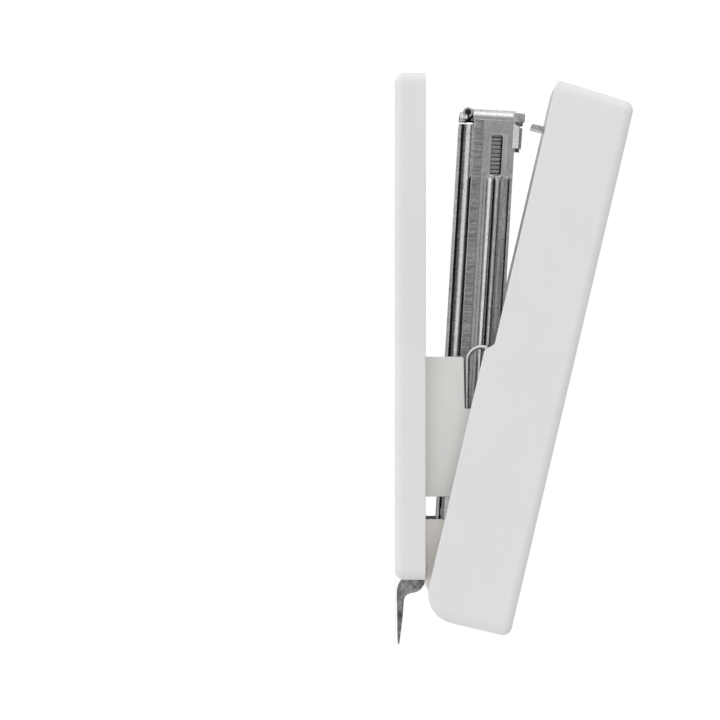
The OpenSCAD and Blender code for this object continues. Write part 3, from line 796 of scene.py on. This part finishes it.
def side_wall(bm):
    """One ribbed side wall of the channel."""
    xs = spread(WALL_FRONT, WINDOW_X0 - 0.25, 5) + spread(WINDOW_X0 - 0.15, WINDOW_X0 + 0.1, 3)
    xs += spread(WINDOW_X0 + 0.6, WINDOW_X0 + WINDOW_LEN - 0.3, 6)
    xs += spread(WINDOW_X0 + WINDOW_LEN - 0.1, RIB_START + 1.0, 12) + spread(RIB_START + 3, RIB_END, 14)
    xs += spread(RIB_END + 0.1, RIB_END + 0.7, 6) + [WALL_REAR]
    zs = wall_heights()
    outer = [[bm.verts.new((x, WALL_FACE + wall_relief(x, z), MAG_BOTTOM + z)) for z in zs] for x in xs]
    inner = [[bm.verts.new((x, WALL_IN, MAG_BOTTOM + z)) for z in zs] for x in xs]
    columns, rows = len(xs) - 1, len(zs) - 1
    for i in range(columns):
        for j in range(rows):
            finish = wall_material((xs[i] + xs[i + 1]) / 2, (zs[j] + zs[j + 1]) / 2)
            corners = ((i, j), (i + 1, j), (i + 1, j + 1), (i, j + 1))
            bm.faces.new([outer[a][b] for a, b in corners]).material_index = finish
            bm.faces.new([inner[a][b] for a, b in reversed(corners)])
        for j in (0, rows):
            bm.faces.new((outer[i][j], outer[i + 1][j], inner[i + 1][j], inner[i][j]))
    for i in (0, columns):
        for j in range(rows):
            bm.faces.new((outer[i][j], outer[i][j + 1], inner[i][j + 1], inner[i][j]))


def magazine_channel():
    finishes = [MAGAZINE_STEEL, HATCHED_AND_SHADE_STEEL, PAINTED_GAP_SHADE_STEEL, MOTTLED_AND_SHADE_STEEL, NOSE_STEEL, PAINTED_HIGHLIGHT_STEEL]
    bm = bmesh.new()
    side_wall(bm)
    cuts = bmesh.new()
    window = plan_loop(WINDOW_X0, WINDOW_X0 + WINDOW_LEN, (WINDOW_HIGH - WINDOW_LOW) / 2, 0.4, steps=6)
    middle = MAG_BOTTOM + (WINDOW_LOW + WINDOW_HIGH) / 2
    prism(cuts, [(x, middle + z) for x, z in window], WALL_IN - 1, MAG_HALF + 1)
    notch = [(WALL_FRONT - 1, MAG_BOTTOM - 1), (WALL_FRONT + 0.62, MAG_BOTTOM - 1)]
    notch += arc(WALL_FRONT + 0.22, MAG_BOTTOM + 1.3, 0.4, 0, 90, 5) + [(WALL_FRONT - 1, MAG_BOTTOM + 1.7)]
    prism(cuts, notch, WALL_IN - 1, MAG_HALF + 1)
    bm = carve(bm, cuts, finishes)
    tab_x, tab_end = WINDOW_X0 - 1.35, WINDOW_X0 + 1.48
    tab = [(tab_x, MAG_TOP - 0.3), (tab_x + 0.06, MAG_TOP + 0.02), (tab_x + 0.2, MAG_TOP + 0.2),
           (tab_x + 0.35, MAG_TOP + 0.5), (tab_end, MAG_TOP + 0.5), (tab_end, MAG_TOP - 0.3)]
    # The bent tab gets painted highlight.
    prism(bm, tab, MAG_HALF - 0.4, MAG_HALF - 0.08, 0.08, material=PAINTED_HIGHLIGHT)
    # The folded lip gets the mottled finish with painted shade under the fold.
    lip = [(tab_x + 0.35, MAG_TOP + 0.3), (tab_x + 0.48, MAG_TOP + 0.79), (tab_end + 0.04, MAG_TOP + 0.74),
           (tab_end - 0.04, MAG_TOP + 0.3)]
    prism(bm, lip, MAG_HALF - 0.56, MAG_HALF - 0.24, 0.06, material=MOTTLED_AND_SHADE)
    arm = [(WALL_REAR - 0.3, MAG_BOTTOM + 0.05), (PIVOT.x - 2.5, PIVOT.z - 1.55)]
    arm += arc(PIVOT.x, PIVOT.z, 1.6, -90, 90, 12)
    arm += [(PIVOT.x - 2.5, MAG_TOP - 0.5), (WALL_REAR - 0.3, MAG_TOP)]
    prism(bm, arm, MAG_HALF - 0.4, MAG_HALF, 0.06, 2)
    mirrored(bm)
    block(bm, (STRIP_LOW.x, -MAG_HALF + 0.12, MAG_BOTTOM),
          (WALL_REAR, MAG_HALF - 0.12, MAG_BOTTOM + 0.27), 0.05, 2)
    piece("staple_channel", bm, finishes, "magazine", LIFT, ["magazine_channel"])


# The nose plate's finishes, in the order of its material slots: satin, painted highlight on the roll, painted
# shadow
SATIN, ROLL_HIGHLIGHT, PAINTED_SHADOW = range(3)


def nose_plate():
    """Sheet wrapped round the magazine's nose, with a rolled ear below and a bent tab above; painted highlight on
    the bend and painted shade inside the ear.
    """
    front, rear = FRONT_LOW.x, NOSE + 5.08
    bend, sheet = 0.92, 0.42
    outer = [(rear, WALL_FACE)] + arc(front + bend, WALL_FACE - bend, bend, 90, 180, 9)
    inner = [(rear, WALL_FACE - sheet)]
    inner += arc(front + bend, WALL_FACE - bend, bend - sheet, 90, 180, 9)
    outline = outer + [(x, -y) for x, y in reversed(outer)]
    outline += [(x, -y) for x, y in inner] + [(x, y) for x, y in reversed(inner)]
    bm = bmesh.new()
    ring_solid(bm, [at_height(outline, z) for z in (MAG_BOTTOM + 1.55, MAG_TOP - 0.05)])
    round_edges(bm, 0.07, 2, 50)
    bm.normal_update()
    # Faces on the rounded bend get painted highlight.
    for face in bm.faces:
        rolled = abs(face.normal.x) > 0.12 and abs(face.calc_center_median().y) > WALL_FACE - bend
        face.material_index = ROLL_HIGHLIGHT if rolled else SATIN
    block(bm, (front, -MAG_HALF + 1.5, MAG_BOTTOM + 0.6),
          (front + sheet, MAG_HALF - 1.5, MAG_BOTTOM + 2), 0.08)
    block(bm, (front + 0.3, -4.7, MAG_BOTTOM + 1.4), (front + 1.0, 4.7, MAG_TOP - 0.5), 0.08)
    ears = bmesh.new()
    ear = Vector((front + 0.45, MAG_HALF - 0.65, MAG_BOTTOM + 0.95))
    curl = arc(ear.x, ear.z, 0.45, 20, 330, 22)
    path = [Vector((x, ear.y, z)) for x, z in curl]
    outward = [(point - ear).normalized() for point in path]
    sweep(ears, path, outward, [flat_section(0.24, 0.9, 0.07)] * len(path))
    # A dark disc in the curl's centre: painted shade.
    core = arc(ear.x, ear.z, 0.4, 0, 345, 23)
    prism(ears, core, ear.y - 0.4, ear.y + 0.1, material=PAINTED_SHADOW)
    # The ear's lobe gets painted highlight.
    lobe = [(0.05, -0.93), (0.77, -0.93), (0.8, 0.0), (0.42, 0.06), (-0.02, -0.42)]
    prism(ears, [(ear.x + x, ear.z + z) for x, z in lobe], ear.y - 0.35, ear.y + 0.36, 0.08, material=ROLL_HIGHLIGHT)
    # A dark plate behind the ear: painted shadow.
    shade = [(0.3, -0.1), (0.72, -0.1), (0.72, 0.7), (0.3, 0.7)]
    prism(ears, [(ear.x + x, ear.z + z) for x, z in shade], ear.y - 0.5, ear.y + 0.02, material=PAINTED_SHADOW)
    hook = [(front + 0.3, MAG_TOP - 0.3), (front + 0.2, MAG_TOP), (front + 0.25, MAG_TOP + 0.98),
            (front + 1.25, MAG_TOP + 0.98), (front + 1.3, MAG_TOP + 0.3), (front + 1.1, MAG_TOP - 0.3)]
    prism(ears, hook, MAG_HALF - 0.62, MAG_HALF - 0.12, 0.1)
    mirrored(ears)
    join(bm, ears)
    finishes = [NOSE_STEEL, PAINTED_HIGHLIGHT_STEEL, PAINTED_GAP_SHADE_STEEL]
    piece("magazine_nose", bm, finishes, "magazine", LIFT, ["nose_plate"])


STAPLE_PITCH = 0.455


def staple_strip():
    """Staples side by side: each a flat wire bent down at both ends."""
    pitch = STAPLE_PITCH
    count = round((STRIP_HIGH.x - STRIP_LOW.x) / pitch)
    wire, bend = 0.46, 0.27
    half, top, leg_end = STRIP_HIGH.y - wire / 2, STRIP_HIGH.z - wire / 2, STRIP_LOW.z
    side = [(half, leg_end), (half, leg_end + 1.6), (half, top - bend - 0.6)]
    side += [(half - bend + y, top - bend + z) for y, z in arc(0, 0, bend, 0, 90, 5)]
    profile = side + [(-y, z) for y, z in reversed(side)]
    bm = bmesh.new()
    for index in range(count):
        x = STRIP_LOW.x + pitch * (index + 0.5)
        path = [Vector((x, y, z)) for y, z in profile]
        section = flat_section(pitch - 0.015, wire, 0.13, 2)
        sweep(bm, path, [Vector((1, 0, 0))] * len(path), [section] * len(path))
    piece("staples", bm, [STAPLE_STEEL], "magazine", LIFT, ["staple_strip"])


def pusher_spring():
    """Coil on the rod, squeezed between the rear stop and the pusher."""
    turns, wire = 9, 0.15
    mean = (COIL_HIGH.y - COIL_LOW.y) / 2 - wire
    z = (COIL_LOW.z + COIL_HIGH.z) / 2
    x0, x1 = COIL_LOW.x + wire, COIL_HIGH.x - wire
    steps = turns * 20
    path, normals = [], []
    for i in range(steps + 1):
        turn = 2 * math.pi * turns * i / steps
        outward = Vector((0, math.cos(turn), math.sin(turn)))
        path.append(Vector((x0 + (x1 - x0) * i / steps, 0, z)) + outward * mean)
        normals.append(outward)
    bm = bmesh.new()
    sweep(bm, path, normals, [round_section(wire, 8)] * len(path))
    made = piece("pusher_coil", bm, [SPRING_STEEL], None, LIFT, ["pusher_spring"])
    made.modifiers.clear()
    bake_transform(made)
    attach(made, "magazine")


# CAD nodes that keep their shape: softened edges and a finish; the bracket's is lightened as painted light

CAD_FINISH = {
    "base_plate": (PLATE_STEEL, 0.08),
    "base_rivets": (FASTENER_STEEL, 0.1),
    "pivot_bracket": (BRIGHTENED_BRACKET_WHITE, 0.15),
    "pivot_pin": (FASTENER_STEEL, 0.12),
    "pin_spacer": (SPACER_WHITE, 0.08),
    "staple_rail": (MAGAZINE_STEEL, 0.1),
    "rail_rivets": (FASTENER_STEEL, 0.08),
    "pusher_rod": (FASTENER_STEEL, 0.1),
    "rear_stop": (MAGAZINE_STEEL, 0.08),
    "pusher": (PUSHER_GREY, 0.15),
    "press_frame": (HANDLE_STEEL, 0.12),
    "driver_blade": (HANDLE_STEEL, 0.1),
    "driver_rivets": (FASTENER_STEEL, 0.08),
}


def finish_cad_nodes():
    for name, (material, rounding) in CAD_FINISH.items():
        node = frame["nodes"][name]
        node.data.materials.clear()
        node.data.materials.append(material)
        for polygon in node.data.polygons:
            polygon.material_index = 0
        weld = node.modifiers.new("weld", "WELD")
        weld.merge_threshold = 0.000002
        bevel = node.modifiers.new("soft_edges", "BEVEL")
        bevel.width = rounding * MM
        bevel.segments = 3
        bevel.limit_method = "ANGLE"
        bevel.angle_limit = math.radians(40)
        normals = node.modifiers.new("flat_faces", "WEIGHTED_NORMAL")
        normals.keep_sharp = True


# Stage: floor, light and camera

def floor():
    bpy.ops.mesh.primitive_plane_add(size=6, location=(0, 0, 0))
    ground = bpy.context.object
    ground.name = "floor"
    graph = Graph("pale_floor")
    graph.shader.inputs["Base Color"].default_value = (0.86, 0.86, 0.86, 1)
    graph.shader.inputs["Roughness"].default_value = 0.9
    graph.shader.inputs["Specular IOR Level"].default_value = 0.1
    graph.shader.inputs["Emission Color"].default_value = (1, 1, 1, 1)
    graph.shader.inputs["Emission Strength"].default_value = 0.38
    ground.data.materials.append(graph.material)


def studio_world():
    """White to the camera; as a light it is a tent, bright above and dimmer round the horizon."""
    world = bpy.data.worlds.new("studio")
    bpy.context.scene.world = world
    world.use_nodes = True
    tree = world.node_tree
    tree.nodes.clear()

    def add(kind, **settings):
        node = tree.nodes.new(kind)
        for key, value in settings.items():
            setattr(node, key, value)
        return node

    place = add("ShaderNodeTexCoord")
    parts = add("ShaderNodeSeparateXYZ")
    tree.links.new(place.outputs["Generated"], parts.inputs[0])
    ramp = add("ShaderNodeValToRGB")
    stops = ((0.0, 0.36), (0.1, 0.42), (0.3, 0.9), (0.55, 0.85), (1.0, 0.42))
    elements = ramp.color_ramp.elements
    while len(elements) < len(stops):
        elements.new(0.5)
    for element, (position, grey) in zip(elements, stops):
        element.position = position
        element.color = (grey, grey, grey, 1)
    tree.links.new(parts.outputs["Z"], ramp.inputs["Fac"])
    sides = add("ShaderNodeMapRange")
    for key, value in (("From Min", -1), ("From Max", 1), ("To Min", 1.5), ("To Max", 0.62)):
        sides.inputs[key].default_value = value
    tree.links.new(parts.outputs["X"], sides.inputs["Value"])
    tent = add("ShaderNodeBackground")
    tree.links.new(ramp.outputs["Color"], tent.inputs["Color"])
    tree.links.new(sides.outputs["Result"], tent.inputs["Strength"])
    white = add("ShaderNodeBackground")
    white.inputs["Color"].default_value = (1, 1, 1, 1)
    white.inputs["Strength"].default_value = 1.05
    path = add("ShaderNodeLightPath")
    mix = add("ShaderNodeMixShader")
    tree.links.new(path.outputs["Is Camera Ray"], mix.inputs[0])
    tree.links.new(tent.outputs[0], mix.inputs[1])
    tree.links.new(white.outputs[0], mix.inputs[2])
    output = add("ShaderNodeOutputWorld")
    tree.links.new(mix.outputs[0], output.inputs["Surface"])


def softbox(name, place, size, power):
    """Area light aimed at the middle of the stapler."""
    light = bpy.data.lights.new(name, "AREA")
    light.shape = "RECTANGLE"
    light.size, light.size_y = size
    light.energy = power
    lamp = bpy.data.objects.new(name, light)
    lamp.location = place
    lamp.rotation_mode = "QUATERNION"
    lamp.rotation_quaternion = (Vector((0, 0, 0.01)) - Vector(place)).to_track_quat("-Z", "Y")
    bpy.context.scene.collection.objects.link(lamp)


def camera():
    """Looks square at the stapler's side, rolled so that the nose is up and the base is on the left."""
    distance = 0.66
    view_width = 0.080
    near_side = HALF_W * MM
    eye = Vector((0, -distance, 0.0012))
    aim = Vector((0, -near_side, -0.0039))
    lens = bpy.data.cameras.new("camera")
    lens.sensor_width = 36
    lens.lens = lens.sensor_width * (distance - near_side) / view_width
    lens.clip_start = 0.01
    lens.clip_end = 20
    eye_object = bpy.data.objects.new("camera", lens)
    back = (eye - aim).normalized()
    up = Vector((-1, 0, 0))
    right = up.cross(back).normalized()
    up = back.cross(right)
    turn = Matrix((right, up, back)).transposed().to_4x4()
    eye_object.matrix_world = Matrix.Translation(eye) @ turn
    bpy.context.scene.collection.objects.link(eye_object)
    bpy.context.scene.camera = eye_object


camera()
floor()
studio_world()
softbox("overhead", (0.05, -0.12, 0.55), (0.5, 0.35), 0.03)
softbox("nose_side", (-0.6, -0.3, 0.1), (0.3, 0.3), 0.3)
softbox("back", (0.1, 0.5, 0.4), (0.4, 0.2), 0.02)
bpy.context.scene.view_settings.view_transform = "Standard"

handle_shell()
base_cover()
guide_frame()
anvil()
remover_tab()
return_spring()
lift_spring()
magazine_channel()
nose_plate()
staple_strip()
pusher_spring()
finish_cad_nodes()
